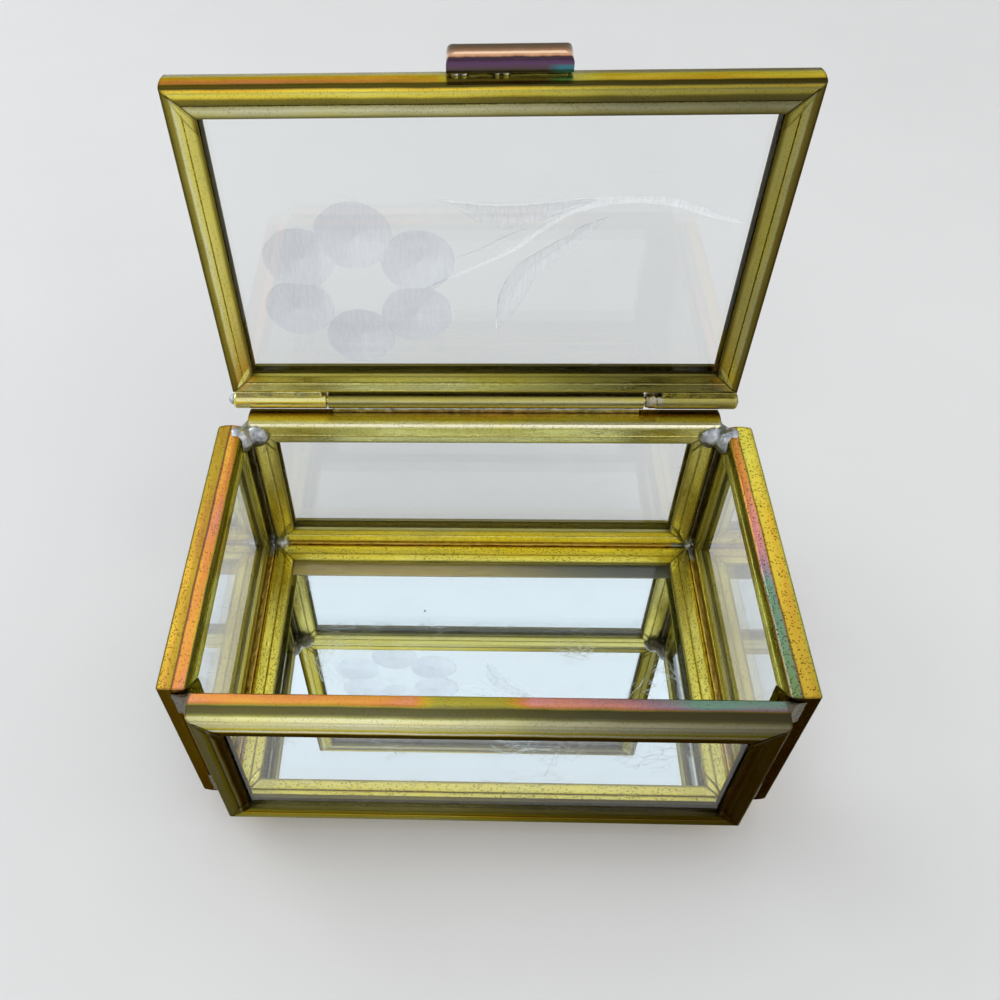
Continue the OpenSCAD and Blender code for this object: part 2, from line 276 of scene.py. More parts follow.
# Heat colours from clean brass to most heated. Bands that set heat 0 at full tone use the palest
# colour for painted highlight lines
HEAT_COLOURS = (
    (0.00, (0.93, 0.91, 0.72)),
    (0.12, (0.86, 0.83, 0.46)),
    (0.25, (0.86, 0.80, 0.24)),
    (0.42, (0.90, 0.76, 0.09)),
    (0.53, (0.92, 0.56, 0.05)),
    (0.63, (0.88, 0.33, 0.08)),
    (0.73, (0.80, 0.31, 0.26)),
    (0.82, (0.46, 0.29, 0.35)),
    (0.90, (0.24, 0.44, 0.33)),
    (1.00, (0.36, 0.52, 0.16)))


def make_heat_colour():
    """Colours that the soldering heat left on brass, from pale gold to orange, pink and teal. The
    palest also serves for painted highlights.
    """
    tree, take, give = new_group(
        "heat_colour",
        [("Grain", (0.0, 0.0, 0.0)), ("Heat", 0.3), ("Spread", 0.4)],
        [("Color", "NodeSocketColor")])
    slow = cloud(tree, stretched(tree, take["Grain"], 0.06, 0.20, 0.25), 1.0, 2.0)
    quick = cloud(tree, stretched(tree, take["Grain"], 0.035, 2.6, 2.6), 1.0, 4.0, 0.6)
    wander = plus(tree, mult(tree, diff(tree, slow, 0.5), 1.6),
                  mult(tree, diff(tree, quick, 0.5), 0.4))
    film = plus(tree, take["Heat"], mult(tree, wander, take["Spread"]), clamp=True)
    tree.links.new(colour_scale(tree, film, HEAT_COLOURS), give["Color"])
    return tree


CREASE_HALF = 0.13
# How far the painted shade along the strip's lip reaches in from the lip, in mm
LIP_DARK = 0.5


def make_strip_marks():
    """Rolled lines, the dotted crease, pits and smudges of the brass strip, and painted shade along
    its lip.
    """
    tree, take, give = new_group(
        "strip_marks",
        [("Grain", (0.0, 0.0, 0.0)), ("Depth", 0.0), ("Seam", 0.0), ("Crease", 1.0), ("Pits", 0.5)],
        [("Dark", "NodeSocketFloat"), ("Height", "NodeSocketFloat"), ("Smudge", "NodeSocketFloat")])
    lines = cloud(tree, stretched(tree, take["Grain"], 0.025, 9.0, 9.0), 1.0, 3.0, 0.6)
    patches = cloud(tree, stretched(tree, take["Grain"], 0.14, 0.7, 0.7), 1.0, 3.0, 0.6)
    dots = put(tree, "ShaderNodeTexVoronoi", {"feature": "F1"}, Vector=take["Grain"], Scale=3.0)
    pit = fade(tree, dots.outputs["Distance"], 0.36, 0.20)
    pit = mult(tree, pit, fade(tree, patches, 0.28, 0.50))
    pit = mult(tree, pit, take["Pits"])
    beat = cloud(tree, stretched(tree, take["Grain"], 4.5, 0.3, 0.3), 1.0, 2.0)
    off = calc(tree, "ABSOLUTE", diff(tree, take["Depth"], CREASE_AT))
    crease = mult(tree, fade(tree, off, CREASE_HALF, 0.02),
                  fade(tree, beat, 0.42, 0.56, 0.08, 0.60))
    crease = mult(tree, crease, take["Crease"])
    # Painted shade along the lip, where the strip meets the glass
    lip = mult(tree, fade(tree, take["Depth"], STRIP_D - LIP_DARK, STRIP_D), 0.6)
    marks_and_painted_reflection = calc(tree, "MAXIMUM", crease, mult(tree, take["Seam"], 0.6))
    dark = calc(tree, "MAXIMUM", calc(tree, "MAXIMUM", pit, marks_and_painted_reflection), lip, clamp=True)
    height = diff(tree, mult(tree, lines, 0.12),
                  mult(tree, calc(tree, "MAXIMUM", pit, marks_and_painted_reflection), 0.6))
    height = plus(tree, height, mult(tree, patches, 0.35))
    smudge = plus(tree, mult(tree, patches, 0.7), mult(tree, lines, 0.3))
    for label, socket in (("Dark", dark), ("Height", height), ("Smudge", smudge)):
        tree.links.new(socket, give[label])
    return tree


# Stretch along and across, and turn, of the three sets of hair scratches
SCRATCH_SETS = ((0.05, 1.1, 0.6), (0.06, 1.3, -0.9), (0.04, 0.9, 1.5))


def make_fine_scratches():
    """Hair scratches and specks of dust on a polished face."""
    tree, take, give = new_group(
        "fine_scratches",
        [("Place", (0.0, 0.0, 0.0)), ("Amount", 0.5)],
        [("Mark", "NodeSocketFloat")])
    bent = put(tree, "ShaderNodeVectorMath", {"operation": "ADD"}, Vector=take["Place"])
    sway = put(tree, "ShaderNodeTexNoise", None, Vector=take["Place"], Scale=0.12)
    tree.links.new(sway.outputs["Color"], bent.inputs[1])
    total = None
    for along, across, turn in SCRATCH_SETS:
        turned = put(tree, "ShaderNodeVectorRotate", {"rotation_type": "EULER_XYZ"},
                     Vector=bent.outputs[0])
        turned.inputs["Rotation"].default_value = (turn * 0.7, turn * 0.4, turn)
        cells = put(tree, "ShaderNodeTexVoronoi", {"feature": "DISTANCE_TO_EDGE"},
                    Vector=stretched(tree, turned.outputs[0], along, across, across), Scale=0.35)
        line = fade(tree, cells.outputs["Distance"], 0.007, 0.001)
        total = line if total is None else calc(tree, "MAXIMUM", total, line)
    gate = fade(tree, cloud(tree, take["Place"], 0.11, 2.0), 0.56, 0.66)
    specks = put(tree, "ShaderNodeTexVoronoi", {"feature": "F1"}, Vector=take["Place"], Scale=0.55)
    speck = fade(tree, specks.outputs["Distance"], 0.05, 0.02)
    mark = mult(tree, calc(tree, "MAXIMUM", mult(tree, total, gate), speck),
                take["Amount"], clamp=True)
    tree.links.new(mark, give["Mark"])
    return tree


SOLDER_GREYS = (
    (0.25, (0.24, 0.25, 0.28)),
    (0.45, (0.40, 0.42, 0.46)),
    (0.62, (0.58, 0.60, 0.64)),
    (0.80, (0.34, 0.38, 0.46)))


def make_solder_skin():
    """The lumpy, half-dull skin of soft solder."""
    tree, take, give = new_group(
        "solder_skin",
        [("Place", (0.0, 0.0, 0.0)), ("Grime", 0.4), ("Stain", (0.10, 0.08, 0.04))],
        [("Color", "NodeSocketColor"), ("Rough", "NodeSocketFloat"), ("Height", "NodeSocketFloat")])
    lumps = cloud(tree, take["Place"], 1.1, 3.0, 0.5, 0.3)
    grains = cloud(tree, take["Place"], 5.5, 4.0, 0.65)
    dirt = plus(tree, cloud(tree, take["Place"], 0.9, 4.0, 0.6),
                diff(tree, take["Grime"], 0.5))
    dirt = mult(tree, fade(tree, dirt, 0.48, 0.68), 0.92)
    colour = tint(tree, dirt, colour_scale(tree, lumps, SOLDER_GREYS), take["Stain"])
    rough = plus(tree, mult(tree, grains, 0.35), 0.16)
    height = plus(tree, lumps, mult(tree, grains, 0.35))
    for label, socket in (("Color", colour), ("Rough", rough), ("Height", height)):
        tree.links.new(socket, give[label])
    return tree


strip_place = make_strip_place()
heat_colour = make_heat_colour()
strip_marks = make_strip_marks()
fine_scratches = make_fine_scratches()
solder_skin = make_solder_skin()


# ------------------------------------------------------------------- materials
# The brass's tint at a glancing angle, the painted shade and painted dark reflection it turns to
# where the tone is 0, and the colour of its pits, creases, seams and the painted shade along its
# lips
BRASS_EDGE = (0.42, 0.38, 0.26, 1.0)
PAINTED_SHADE_BROWN = (0.034, 0.026, 0.012)
MARK_BROWN = (0.055, 0.038, 0.012)
SMUDGE_ROUGH = 0.16
# Depths of relief, in metres
BRASS_RELIEF, TAB_RELIEF, SOLDER_RELIEF, GLASS_RELIEF = 0.00006, 0.00005, 0.00015, 0.00003


def finish_brass(tree, shader, grain, heat, spread, tone, rough, marks):
    """Feeds the brass shader: heat colours, painted highlights and painted shade set by the tone,
    dark marks and relief.
    """
    colour = use_group(tree, heat_colour, Grain=grain, Heat=heat, Spread=spread)["Color"]
    # Where the tone is low the colour turns to painted shade
    colour = tint(tree, tone, PAINTED_SHADE_BROWN, colour)
    colour = tint(tree, mult(tree, marks["Dark"], 0.8), colour, MARK_BROWN)
    soft = fade(tree, marks["Smudge"], 0.35, 0.65, rough, rough + SMUDGE_ROUGH)
    feed(tree, shader, Base_Color=colour, Metallic=1.0, Specular_Tint=BRASS_EDGE,
         Roughness=plus(tree, soft, mult(tree, marks["Dark"], 0.3)))
    relief(tree, shader, marks["Height"], 0.5, BRASS_RELIEF)


def read_bands(tree, share, stops, others=()):
    """Up to three values that change along a share from 0 to 1, as sockets. Each stop is its place
    and then its values. others holds more stops, each with the mask where they take over."""
    def scale(some):
        return colour_scale(tree, share, [(at, (*values, 0.0, 0.0)[:3]) for at, *values in some])

    found = scale(stops)
    for mask, more in others:
        found = tint(tree, mask, found, scale(more))
    return put(tree, "ShaderNodeSeparateColor", None, Color=found).outputs


LIP_AROUND = 5.5
BAND_WAVER = 0.5
EVEN_RUN = ((0, 0, 1, 1), (1, 0, 1, 1))


def around_share(stops):
    """Stops round a section in mm, as stops of a share from one lip to the other."""
    return [((at + LIP_AROUND) / (2 * LIP_AROUND), *values) for at, *values in stops]


def strip_brass(name, panel, bands, low_bands=None, side_bands=None, run=EVEN_RUN,
                uprights=(1.0, 1.0), spread=0.3, pits=0.5, rough=0.2):
    """Brass for a panel's strip. bands gives heat, tone and the run's share around the section, in
    mm from the middle of its back, and low_bands and side_bands the same for the lower strip and
    the uprights, where they differ. The tone is painted light: high for painted highlight lines,
    low for painted shade and painted dark reflections. run gives the heat, the tone outside the
    run's share and the tone in it, from the panel's left end to its right end, which makes the
    painted highlights brighter or darker along the strip. uprights is the tone of the left and the
    right upright: their painted shade."""
    order, middle, half_w, half_h = panel
    made, tree, shader = new_material(name)
    place = object_place(tree)
    moved = put(tree, "ShaderNodeVectorMath", {"operation": "SUBTRACT"}, Vector=place)
    moved.inputs[1].default_value = (middle[0], middle[1] - FOOT_Y, middle[2])
    parts = put(tree, "ShaderNodeSeparateXYZ", None, Vector=moved.outputs[0]).outputs
    turned = put(tree, "ShaderNodeCombineXYZ", None,
                 X=parts[order[0]], Y=parts[order[1]], Z=parts[order[2]]).outputs[0]
    spot = use_group(tree, strip_place, Panel=turned, Half_Width=half_w, Half_Height=half_h)
    waver = cloud(tree, stretched(tree, spot["Grain"], 0.09, 0.0, 0.0), 1.0, 2.0)
    around = plus(tree, spot["Around"],
                  mult(tree, diff(tree, waver, 0.5), BAND_WAVER))
    share = calc(tree, "DIVIDE", plus(tree, around, LIP_AROUND), 2 * LIP_AROUND, clamp=True)
    level = diff(tree, 1.0, spot["Upright"])
    is_low = mult(tree, calc(tree, "LESS_THAN", parts[order[1]], 0.0), level)
    masks = ((is_low, low_bands), (spot["Upright"], side_bands))
    others = [(mask, around_share(stops)) for mask, stops in masks if stops]
    band = read_bands(tree, share, around_share(bands), others)
    across = calc(tree, "DIVIDE", plus(tree, parts[order[0]], half_w), 2 * half_w, clamp=True)
    along = read_bands(tree, across, run)
    run_heat = mult(tree, mult(tree, along[0], band[2]), level)
    run_gain = diff(tree, along[2], along[1])
    run_tone = plus(tree, along[1], mult(tree, band[2], run_gain))
    # The uprights' tone is their painted shade
    end_tone = plus(tree, mult(tree, across, uprights[1] - uprights[0]),
                    uprights[0])
    side_tone = plus(tree, mult(tree, run_tone, level),
                     mult(tree, end_tone, spot["Upright"]))
    marks = use_group(tree, strip_marks, Grain=spot["Grain"], Depth=spot["Depth"],
                      Seam=spot["Seam"], Crease=1.0, Pits=pits)
    finish_brass(tree, shader, spot["Grain"], plus(tree, band[0], run_heat), spread,
                 mult(tree, band[1], side_tone), rough, marks)
    return made


WETTED_BRASS = (0.36, 0.35, 0.28)


def tube_brass(name, heat, spread, bands=((0, 0.0, 1), (1, 0.0, 1)), solder_end=None, rough=0.2):
    """Brass for the tubes and the pin, whose lines run along X. bands gives added heat, and tone,
    from a tube's underside to its upper side; the tone paints the tube's highlights and shade. Left
    of solder_end it is wetted with solder."""
    made, tree, shader = new_material(name)
    place = object_place(tree)
    height = put(tree, "ShaderNodeSeparateXYZ", None, Vector=place).outputs[2]
    share = calc(tree, "DIVIDE", diff(tree, height, HINGE_Z - TUBE_R), 2 * TUBE_R,
                 clamp=True)
    band = read_bands(tree, share, bands)
    marks = use_group(tree, strip_marks, Grain=place, Depth=0.0, Seam=0.0, Crease=0.0, Pits=0.3)
    finish_brass(tree, shader, place, plus(tree, band[0], heat), spread, band[1], rough, marks)
    if solder_end is not None:
        brass = shader.inputs["Base Color"].links[0].from_socket
        along = put(tree, "ShaderNodeSeparateXYZ", None, Vector=place).outputs[0]
        ragged = plus(tree, along, mult(tree, cloud(tree, place, 1.6, 2.0), 0.8))
        wetted = fade(tree, ragged, solder_end + 0.5, solder_end + 0.3)
        feed(tree, shader, Base_Color=tint(tree, wetted, brass, WETTED_BRASS))
    return made


# From the tab's rear top edge round to its lower face: heat colours, with painted highlights,
# silvery on the rear edge and copper on the round corner, and painted dark reflection below it
TAB_HEAT_AND_PAINTED_LIGHT = (
    (0.02, (0.78, 0.82, 0.74)),
    (0.10, (0.50, 0.50, 0.36)),
    (0.20, (0.12, 0.085, 0.035)),
    (0.36, (0.26, 0.14, 0.06)),
    (0.46, (0.62, 0.32, 0.15)),
    (0.54, (1.00, 0.68, 0.45)),
    (0.61, (0.85, 0.46, 0.26)),
    (0.68, (0.045, 0.028, 0.035)),
    (0.82, (0.14, 0.07, 0.15)),
    (1.00, (0.10, 0.085, 0.04)))
TAB_TEAL = (0.05, 0.26, 0.30)


def tab_brass():
    """The tab took the most heat: purple to teal on the face below its round corner. Its silvery
    rear edge and the bright copper on its round corner are painted highlights, and the near black
    just below the corner is painted dark reflection."""
    made, tree, shader = new_material("brass_tab")
    place = object_place(tree)
    parts = put(tree, "ShaderNodeSeparateXYZ", None, Vector=place).outputs
    forward = diff(tree, TAB_REAR_Y - FOOT_Y, parts[1])
    down = diff(tree, TAB_TOP_Z, parts[2])
    waver = cloud(tree, stretched(tree, place, 0.5, 0.0, 0.0), 1.0, 2.0)
    around = plus(tree, plus(tree, forward, down), mult(tree, waver, 0.5))
    colour = colour_scale(tree, calc(tree, "DIVIDE", around, TAB_AROUND, clamp=True), TAB_HEAT_AND_PAINTED_LIGHT)
    right_end = mult(tree, fade(tree, parts[0], TAB_RIGHT_X - 3.2, TAB_RIGHT_X - 1.2),
                     fade(tree, down, 1.0, 1.4))
    colour = tint(tree, mult(tree, right_end, 0.8), colour, TAB_TEAL)
    marks = use_group(tree, strip_marks, Grain=place, Depth=0.0, Seam=0.0, Crease=0.0, Pits=0.1)
    feed(tree, shader, Base_Color=colour, Metallic=1.0,
         Roughness=fade(tree, marks["Smudge"], 0.35, 0.65, 0.14, 0.26))
    relief(tree, shader, marks["Height"], 0.35, TAB_RELIEF)
    return made


# Where the clean solder begins and is full: height at the rim, distance from the middle at both
# ends, place towards the rear, and height in the floor's corners
RIM_CLEAN, END_CLEAN = (28.8, 30.6), (30.2, 31.6)
REAR_CLEAN, CORNER_CLEAN = (17.6, 18.8), (7.0, 5.4)
CLEAN_GAIN = 0.65


def solder_finish(name, grime, stain, clean_ends=False):
    """Soft solder. With clean_ends it is bright on the rear lumps at the rim and in the floor's
    rear corners, and dark elsewhere."""
    made, tree, shader = new_material(name)
    place = object_place(tree)
    if clean_ends:
        parts = put(tree, "ShaderNodeSeparateXYZ", None, Vector=place).outputs
        to_back = fade(tree, parts[1], 0.0, 4.0)
        at_rim = mult(tree, fade(tree, parts[2], *RIM_CLEAN), to_back)
        at_end = fade(tree, calc(tree, "ABSOLUTE", parts[0]), *END_CLEAN)
        at_rear = fade(tree, plus(tree, parts[1], FOOT_Y), *REAR_CLEAN)
        low = fade(tree, parts[2], *CORNER_CLEAN)
        in_corner = mult(tree, mult(tree, at_end, at_rear), low)
        clean = calc(tree, "MAXIMUM", at_rim, in_corner)
        grime = diff(tree, grime, mult(tree, clean, CLEAN_GAIN))
    skin = use_group(tree, solder_skin, Place=place, Grime=grime, Stain=stain)
    feed(tree, shader, Base_Color=skin["Color"], Roughness=skin["Rough"], Metallic=1.0)
    relief(tree, shader, skin["Height"], 0.7, SOLDER_RELIEF)
    return made


def let_lamps_through(tree, shader, shadow):
    """Lamps shine through clear glass, with the pane's own faint shade."""
    end = next(n for n in tree.nodes if n.type == "OUTPUT_MATERIAL")
    clear = put(tree, "ShaderNodeBsdfTransparent", None)
    clear.inputs["Color"].default_value = (*shadow, 1.0)
    path = tree.nodes.new("ShaderNodeLightPath")
    both = put(tree, "ShaderNodeMixShader", None, Fac=path.outputs["Is Shadow Ray"])
    tree.links.new(shader.outputs[0], both.inputs[1])
    tree.links.new(clear.outputs[0], both.inputs[2])
    tree.links.new(both.outputs[0], end.inputs["Surface"])


GLASS_IOR, GROUND_IOR = 1.5, 1.2
MARK_WHITE = (0.80, 0.80, 0.82)


def clear_glass(name, colour, marks, shadow):
    """Clear glass with fine marks, of the amount marks."""
    made, tree, shader = new_material(name)
    mark = use_group(tree, fine_scratches, Place=object_place(tree), Amount=marks)["Mark"]
    feed(tree, shader, Base_Color=tint(tree, mark, colour, MARK_WHITE), Metallic=0.0,
         Roughness=mult(tree, mark, 0.5), Transmission_Weight=1.0, IOR=GLASS_IOR)
    relief(tree, shader, mark, 0.4, GLASS_RELIEF)
    let_lamps_through(tree, shader, shadow)
    return made


SILVER_END_Y = 16.2
SILVER_COLOURS = (0.86, 0.91, 0.94), (0.80, 0.87, 0.91)
SILVER_SPECK = (0.05, 0.05, 0.045)
SILVER_ROUGH = 0.012
# Painted reflection of the rear lip's rounded edge along the mirror's rear edge: gold on the left,
# grey to the right
PAINTED_LIP_REFLECTION_COLOURS = (0.66, 0.46, 0.10), (0.95, 0.80, 0.30)
PAINTED_LIP_REFLECTION_GREY = (0.22, 0.23, 0.18)


def mirror_silver():
    """Silver behind the floor's glass, with a few dark specks where it has gone. Along the rear
    edge the silver gives way to a duller band painted gold on the left and grey to the right: a
    painted reflection of the rear lip's rounded edge."""
    made, tree, shader = new_material("mirror_silver")
    place = object_place(tree)
    cells = put(tree, "ShaderNodeTexVoronoi", {"feature": "F1"}, Vector=place, Scale=0.16)
    gate = fade(tree, cloud(tree, place, 0.09, 1.0), 0.5, 0.6)
    speck = mult(tree, fade(tree, cells.outputs["Distance"], 0.055, 0.03), gate)
    veil = cloud(tree, place, 0.07, 3.0)
    colour = tint(tree, veil, *SILVER_COLOURS)
    colour = tint(tree, speck, colour, SILVER_SPECK)
    parts = put(tree, "ShaderNodeSeparateXYZ", None, Vector=place).outputs
    back = plus(tree, parts[1], FOOT_Y)
    ragged = plus(tree, back, mult(tree, cloud(tree, place, 0.35, 2.0), 0.25))
    # The band along the rear edge where the silver gives way to the painted reflection of the lip
    marks_and_painted_reflection = fade(tree, ragged, SILVER_END_Y - 0.12, SILVER_END_Y + 0.12)
    streak = cloud(tree, stretched(tree, place, 0.25, 1.6, 1.0), 1.0, 3.0)
    lip_reflection = tint(tree, streak, *PAINTED_LIP_REFLECTION_COLOURS)
    lip_reflection = tint(tree, fade(tree, parts[0], -10.0, 24.0), lip_reflection, PAINTED_LIP_REFLECTION_GREY)
    colour = tint(tree, marks_and_painted_reflection, colour, lip_reflection)
    dull = calc(tree, "MAXIMUM", mult(tree, speck, 0.5), mult(tree, marks_and_painted_reflection, 0.6))
    feed(tree, shader, Base_Color=colour, Roughness=plus(tree, dull, SILVER_ROUGH),
         Metallic=diff(tree, 1.0, marks_and_painted_reflection))
    return made


def ground_glass(name, dull, clear, least, most):
    """The pale bloom of wheel-ground glass, between two colours, with fine grinding lines. Light
    from behind shines through it softly. least and most say how much it hides what lies behind."""
    made, tree, shader = new_material(name)
    place = object_place(tree)
    lines = cloud(tree, stretched(tree, place, 5.0, 5.0, 0.7), 1.0, 3.0, 0.6, 0.2)
    bloom = cloud(tree, place, 0.5, 3.0)
    feed(tree, shader, Base_Color=tint(tree, bloom, dull, clear), Metallic=0.0,
         Roughness=fade(tree, lines, 0.3, 0.7, 0.75, 0.95), Transmission_Weight=1.0,
         Alpha=fade(tree, lines, 0.3, 0.7, least, most), IOR=GROUND_IOR)
    relief(tree, shader, lines, 0.15, GLASS_RELIEF)
    let_lamps_through(tree, shader, (0.8, 0.8, 0.8))
    return made


# Each framed panel: the axes that run along its width, height and thickness, its middle, and half
# its width and height
UP_X, UP_Y, FLAT = (0, 2, 1), (1, 2, 0), (0, 1, 2)
PANELS = {
    "base_frame": (FLAT, (0, 0, STRIP_T / 2), FRONT_HALF_W, SIDE_HALF_L),
    "front_frame": (UP_X, (0, -END_Y, WALL_MID_Z), FRONT_HALF_W, WALL_HALF_H),
    "back_frame": (UP_X, (0, END_Y, WALL_MID_Z), FRONT_HALF_W, WALL_HALF_H),
    "left_frame": (UP_Y, (-SIDE_X, 0, WALL_MID_Z), SIDE_HALF_L, WALL_HALF_H),
    "right_frame": (UP_Y, (SIDE_X, 0, WALL_MID_Z), SIDE_HALF_L, WALL_HALF_H),
    "lid_frame": (UP_X, (0, LID_MID_Y, LID_LOW_Z + LID_HALF_L), LID_HALF_W, LID_HALF_L),
}

# Heat, tone and the run's share around each strip's section, from the lip on the panel's low side
# (front, left or underside) to the other lip. The tone paints light: high stops, often with heat 0,
# are painted highlight lines, and low stops painted shade and painted dark reflections
FLOOR_BANDS = ((-5.5, 0.30, 0.2, 0), (-2.0, 0.30, 0.4, 0), (-1.0, 0.12, 0.8, 0), (0.5, 0.10, 1, 0),
               (1.3, 0.50, 0.8, 0), (1.9, 0.54, 0.6, 0), (2.3, 0.35, 1, 0), (3.7, 0.34, 1, 0),
               (4.0, 0.45, 0.55, 0), (4.3, 0.38, 1, 0), (5.2, 0.34, 1, 0), (5.5, 0.34, 0.4, 0))
FRONT_BANDS = ((-5.5, 0.30, 0.02, 0), (-4.75, 0.40, 0.03, 0), (-4.55, 0.55, 0.5, 0),
               (-4.4, 0.0, 1, 0), (-4.15, 0.0, 1, 0), (-4.0, 0.25, 0.5, 0), (-3.8, 0.42, 0.8, 0),
               (-3.3, 0.10, 1, 0), (-2.5, 0.08, 1, 0), (-1.5, 0.12, 1, 0), (-1.2, 0.25, 0.35, 0),
               (-0.9, 0.20, 0.14, 0), (0.0, 0.25, 0.10, 0), (0.3, 0.30, 0.6, 1), (0.7, 0.34, 1, 1),
               (1.9, 0.34, 1, 1), (2.3, 0.30, 0.2, 0), (5.5, 0.32, 0.30, 0))
FRONT_LOW_BANDS = ((-5.5, 0.30, 0.25, 0), (-4.6, 0.30, 0.35, 0), (-4.3, 0.60, 0.25, 0),
                   (-3.8, 0.42, 0.50, 0), (-2.4, 0.10, 0.55, 0), (-1.8, 0.10, 0.25, 0),
                   (5.5, 0.3, 0.3, 0))
BACK_BANDS = ((-5.5, 0.25, 0.8, 0), (-4.4, 0.18, 1, 0), (-4.15, 0.30, 0.5, 0), (-3.9, 0.22, 1, 0),
              (-2.6, 0.24, 1, 0), (-1.9, 0.0, 1, 0), (-1.3, 0.0, 1, 0), (-0.8, 0.40, 0.85, 0),
              (0.2, 0.50, 0.6, 0), (0.8, 0.54, 0.18, 0), (5.5, 0.35, 0.3, 0))
LEFT_BANDS = ((-5.5, 0.25, 0.10, 0), (-2.6, 0.30, 0.15, 0), (-1.6, 0.52, 0.42, 0),
              (-0.6, 0.56, 0.50, 0), (-0.1, 0.50, 0.5, 0), (0.15, 0.70, 0.15, 0),
              (0.35, 0.58, 1, 1), (1.5, 0.60, 1, 1), (1.9, 0.35, 0.12, 0), (3.0, 0.32, 0.3, 0),
              (4.2, 0.25, 0.9, 0), (5.5, 0.30, 0.8, 0))
RIGHT_BANDS = ((-5.5, 0.30, 0.8, 0), (-4.2, 0.25, 0.9, 0), (-3.0, 0.30, 0.3, 0),
               (-2.2, 0.30, 0.10, 0), (-1.8, 0.60, 1, 1), (-0.7, 0.62, 1, 1),
               (-0.5, 0.40, 0.10, 0.3), (-0.3, 0.42, 0.9, 0.3), (1.2, 0.44, 0.9, 0.3),
               (2.0, 0.30, 0.5, 0), (5.5, 0.28, 0.12, 0))
LID_BANDS = ((-5.5, 0.26, 0.3, 0), (-5.2, 0.24, 0.55, 0), (-4.6, 0.10, 0.8, 0),
             (-4.1, 0.16, 0.5, 0), (-3.9, 0.35, 0.15, 0), (-3.3, 0.42, 0.25, 0), (-3.0, 0.40, 1, 0),
             (-2.6, 0.30, 1, 0), (-2.2, 0.48, 1, 0), (-1.9, 0.40, 0.10, 0), (-1.1, 0.45, 0.08, 0),
             (-0.8, 0.33, 0.7, 1), (-0.2, 0.29, 1, 1), (0.5, 0.23, 1, 1), (0.9, 0.05, 1, 0.2),
             (1.9, 0.0, 1, 0), (5.5, 0.32, 0.3, 0))
LID_SIDE_BANDS = ((-5.5, 0.40, 0.4, 0), (-5.0, 0.30, 0.9, 0), (-3.8, 0.32, 1, 0),
                  (-3.2, 0.12, 1, 0), (-3.0, 0.40, 0.4, 0), (-2.2, 0.42, 0.12, 0),
                  (0.0, 0.40, 0.1, 0), (5.5, 0.3, 0.3, 0))
LID_LOW_BANDS = ((-5.5, 0.36, 1, 0), (-4.4, 0.34, 1, 0), (-4.15, 0.30, 0.3, 0), (-3.9, 0.22, 1, 0),
                 (-2.2, 0.20, 1, 0), (-1.9, 0.30, 0.6, 0), (-1.0, 0.40, 0.3, 0), (5.5, 0.3, 0.3, 0))

# Heat, tone outside the run's share and tone in it, along a panel from its left end: the tones make
# the painted highlights brighter or darker along the strip
FRONT_RUN = ((0.0, 0.36, 0.7, 1), (0.1, 0.30, 1, 1), (0.38, 0.30, 1, 1), (0.42, 0.05, 0.9, 0.5),
             (0.53, 0.05, 0.7, 0.5), (0.58, 0.32, 0.5, 0.9), (0.72, 0.40, 0.3, 0.65),
             (0.85, 0.56, 0.2, 0.6), (1.0, 0.52, 0.12, 0.5))
LEFT_RUN = ((0.0, 0.08, 1, 1), (0.3, 0.0, 1, 1), (1.0, 0.02, 1, 1))
RIGHT_RUN = ((0.0, 0.36, 0.8, 0.5), (0.35, 0.30, 1, 0.7), (0.5, 0.12, 1, 1), (0.7, 0.06, 1, 1),
             (1.0, 0.0, 1, 1))
# Under the tab, from 0.45 to 0.62, the run adds almost no heat: the strip stays pale there, painted
# light against the tab's shadow and its dark reflection
LID_RUN = ((0.0, 0.29, 1, 1), (0.3, 0.31, 1, 1), (0.42, 0.25, 0.9, 0.9), (0.45, 0.02, 0.9, 0.9),
           (0.62, 0.0, 0.6, 0.9), (0.68, 0.22, 0.45, 0.9), (0.9, 0.18, 0.3, 0.9),
           (1.0, 0.12, 0.3, 1))
# Added heat, and tone, from a tube's underside to its upper side: the tone paints the tube's
# highlights and shade
BARREL_BANDS = ((0.0, 0.1, 0.2), (0.3, 0.2, 0.55), (0.5, 0.05, 0.6), (0.62, 0.2, 0.25),
                (0.75, 0.05, 0.65), (0.9, 0.3, 0.4), (1.0, 0.0, 0.2))
LEFT_TUBE_BANDS = ((0.0, 0.1, 0.5), (0.35, 0.0, 1), (0.6, 0.0, 1), (0.68, 0.36, 1), (0.78, 0.0, 1),
                   (1.0, 0.0, 0.8))
RIGHT_TUBE_BANDS = ((0.0, 0.0, 0.2), (0.6, 0.0, 0.42), (1.0, 0.0, 0.3))

